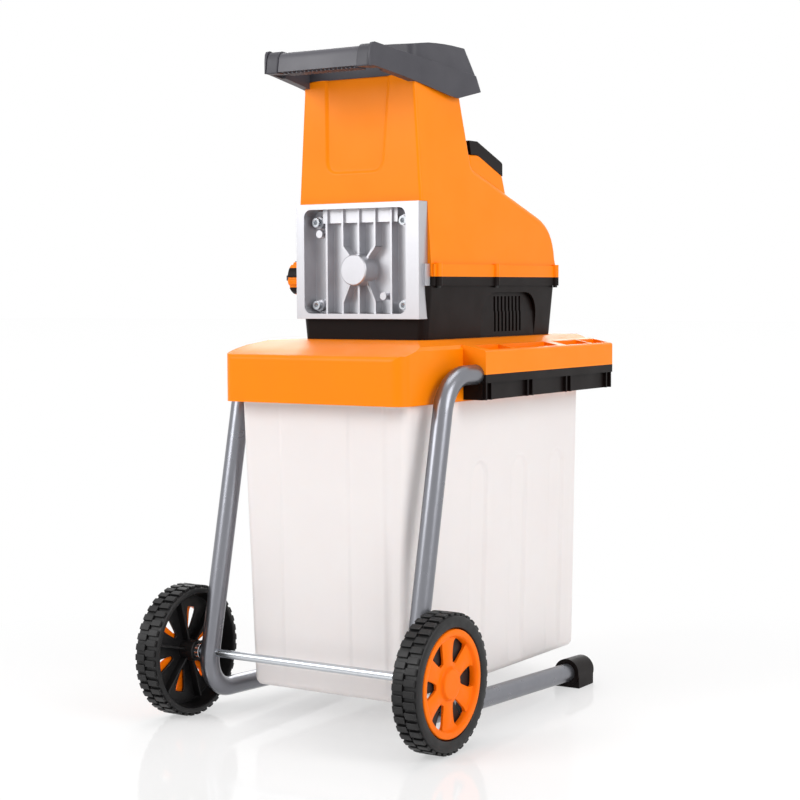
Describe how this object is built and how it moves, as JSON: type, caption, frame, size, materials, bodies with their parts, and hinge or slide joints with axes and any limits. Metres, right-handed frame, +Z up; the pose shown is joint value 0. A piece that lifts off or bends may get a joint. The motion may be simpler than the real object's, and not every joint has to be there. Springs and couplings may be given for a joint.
{
  "type": "garden shredder",
  "caption": "Electric roller shredder: hopper with carry handle, cutter and motor housing, wheeled tube frame and slide-out collection box.",
  "frame": {"origin": "on the floor below the middle of the overall box", "axes": "+Z up, front with the wheels and cast plate at -Y, feet and pull-out side at +Y, right-hand wheel at +X"},
  "size_m": [0.474, 0.66, 0.961],
  "materials": {
    "orange_shell": "injection moulded ABS, satin gloss",
    "wheel_cover_plastic": "injection moulded polypropylene, satin",
    "black_shell": "injection moulded ABS, fine spark texture",
    "grey_hood": "injection moulded polypropylene, fine grain",
    "wheel_black": "moulded hard tread, dull",
    "box_milky": "translucent natural polypropylene, dull",
    "tube_paint": "silver-grey powder coat, satin",
    "zinc_steel": "bright zinc plate",
    "cast_aluminium": "die cast, blasted silver",
    "tool_steel": "ground steel",
    "lamination_steel": "stacked sheet",
    "bronze": "sintered bronze",
    "copper": "enamelled copper wire",
    "green_button": "glossy",
    "red_button": "glossy"
  },
  "bodies": {
    "chassis": {"frame_tube_left": "tube_paint", "frame_tube_right": "tube_paint", "axle": "zinc_steel", "axle_spacers": "zinc_steel", "axle_lock_washers": "zinc_steel", "foot_left": "black_shell", "foot_right": "black_shell", "base_cover": "orange_shell", "rail_left": "black_shell", "rail_right": "black_shell", "frame_bolts": "zinc_steel", "interlock_switch": "black_shell", "lower_housing": "black_shell", "upper_housing": "orange_shell", "flange_screws": "zinc_steel", "base_screws": "zinc_steel", "feed_chute": "black_shell", "hopper_hood": "grey_hood", "handle_bar": "grey_hood", "handle_caps": "grey_hood", "front_plate": "cast_aluminium", "plate_screws": "zinc_steel", "chamber_posts": "zinc_steel", "front_bearing": "tool_steel", "rear_bearing": "tool_steel", "counter_guides": "zinc_steel", "knob_collar": "black_shell", "gearbox_cover": "cast_aluminium", "gearbox_case": "cast_aluminium", "layshaft_bushes": "bronze", "motor_casing": "cast_aluminium", "stator": "lamination_steel", "stator_windings": "copper", "motor_bearings": "tool_steel", "motor_end_shield": "cast_aluminium", "run_capacitor": "cast_aluminium", "control_panel": "black_shell", "switch_block": "grey_hood"},
    "left_wheel": {"wheel_left": "wheel_black", "wheel_cover_left": "wheel_cover_plastic"},
    "right_wheel": {"wheel_right": "wheel_black", "wheel_cover_right": "wheel_cover_plastic"},
    "box": {"collection_box": "box_milky"},
    "box_lock": {"box_lock_slider": "orange_shell"},
    "roller": {"cutting_roller": "tool_steel", "roller_shaft": "tool_steel", "roller_gear": "tool_steel"},
    "layshaft": {"layshaft": "tool_steel", "layshaft_gear": "tool_steel"},
    "motor_rotor": {"rotor": "lamination_steel", "motor_shaft": "tool_steel", "cooling_fan": "black_shell"},
    "knob": {"adjusting_knob": "orange_shell", "knob_grip": "grey_hood", "adjusting_screw": "zinc_steel"},
    "counter": {"counter_plate": "tool_steel"},
    "on_switch": {"on_button": "green_button"},
    "off_switch": {"off_button": "red_button"},
    "selector": {"direction_selector": "grey_hood"},
    "reset": {"reset_button": "black_shell"}
  },
  "joints": [
    {"name": "left_wheel_spin", "type": "hinge", "parent": "chassis", "child": "left_wheel", "pos_m": [-0.217, -0.235, 0.095], "axis": [1, 0, 0], "continuous": true},
    {"name": "right_wheel_spin", "type": "hinge", "parent": "chassis", "child": "right_wheel", "pos_m": [0.217, -0.235, 0.095], "axis": [1, 0, 0], "continuous": true},
    {"name": "box_slide", "type": "slide", "parent": "chassis", "child": "box", "axis": [0, 1, 0], "range_m": [0, 0.45]},
    {"name": "box_lock_slide", "type": "slide", "parent": "box", "child": "box_lock", "axis": [0, 0, 1], "range_m": [0, 0.012]},
    {"name": "roller_spin", "type": "hinge", "parent": "chassis", "child": "roller", "pos_m": [-0.005, 0, 0.645], "axis": [0, 1, 0], "continuous": true},
    {"name": "layshaft_spin", "type": "hinge", "parent": "chassis", "child": "layshaft", "pos_m": [-0.005, 0.05, 0.699], "axis": [0, 1, 0], "continuous": true},
    {"name": "rotor_spin", "type": "hinge", "parent": "chassis", "child": "motor_rotor", "pos_m": [-0.005, 0.15, 0.645], "axis": [0, 1, 0], "continuous": true},
    {"name": "knob_turn", "type": "hinge", "parent": "chassis", "child": "knob", "pos_m": [-0.13, -0.052, 0.635], "axis": [1, 0, 0], "range_deg": [-720, 90]},
    {"name": "counter_slide", "type": "slide", "parent": "chassis", "child": "counter", "axis": [1, 0, 0], "range_m": [-0.0025, 0.00031]},
    {"name": "on_press", "type": "slide", "parent": "chassis", "child": "on_switch", "axis": [0, -0.3443, -0.9389], "range_m": [0, 0.003], "stiffness_N_per_m": 400},
    {"name": "off_press", "type": "slide", "parent": "chassis", "child": "off_switch", "axis": [0, -0.3443, -0.9389], "range_m": [0, 0.003], "stiffness_N_per_m": 400},
    {"name": "reset_press", "type": "slide", "parent": "chassis", "child": "reset", "axis": [0, -0.3443, -0.9389], "range_m": [0, 0.003], "stiffness_N_per_m": 400},
    {"name": "selector_turn", "type": "hinge", "parent": "chassis", "child": "selector", "pos_m": [0.022, 0.1035, 0.82125], "axis": [0, 0.3443, 0.9389], "range_deg": [-45, 45]}
  ],
  "couplings": [
    {"joint": "layshaft_spin", "follows": "roller_spin", "ratio": -5},
    {"joint": "rotor_spin", "follows": "roller_spin", "ratio": 31},
    {"joint": "knob_turn", "follows": "counter_slide", "rad_per_m": 5026.5}
  ]
}
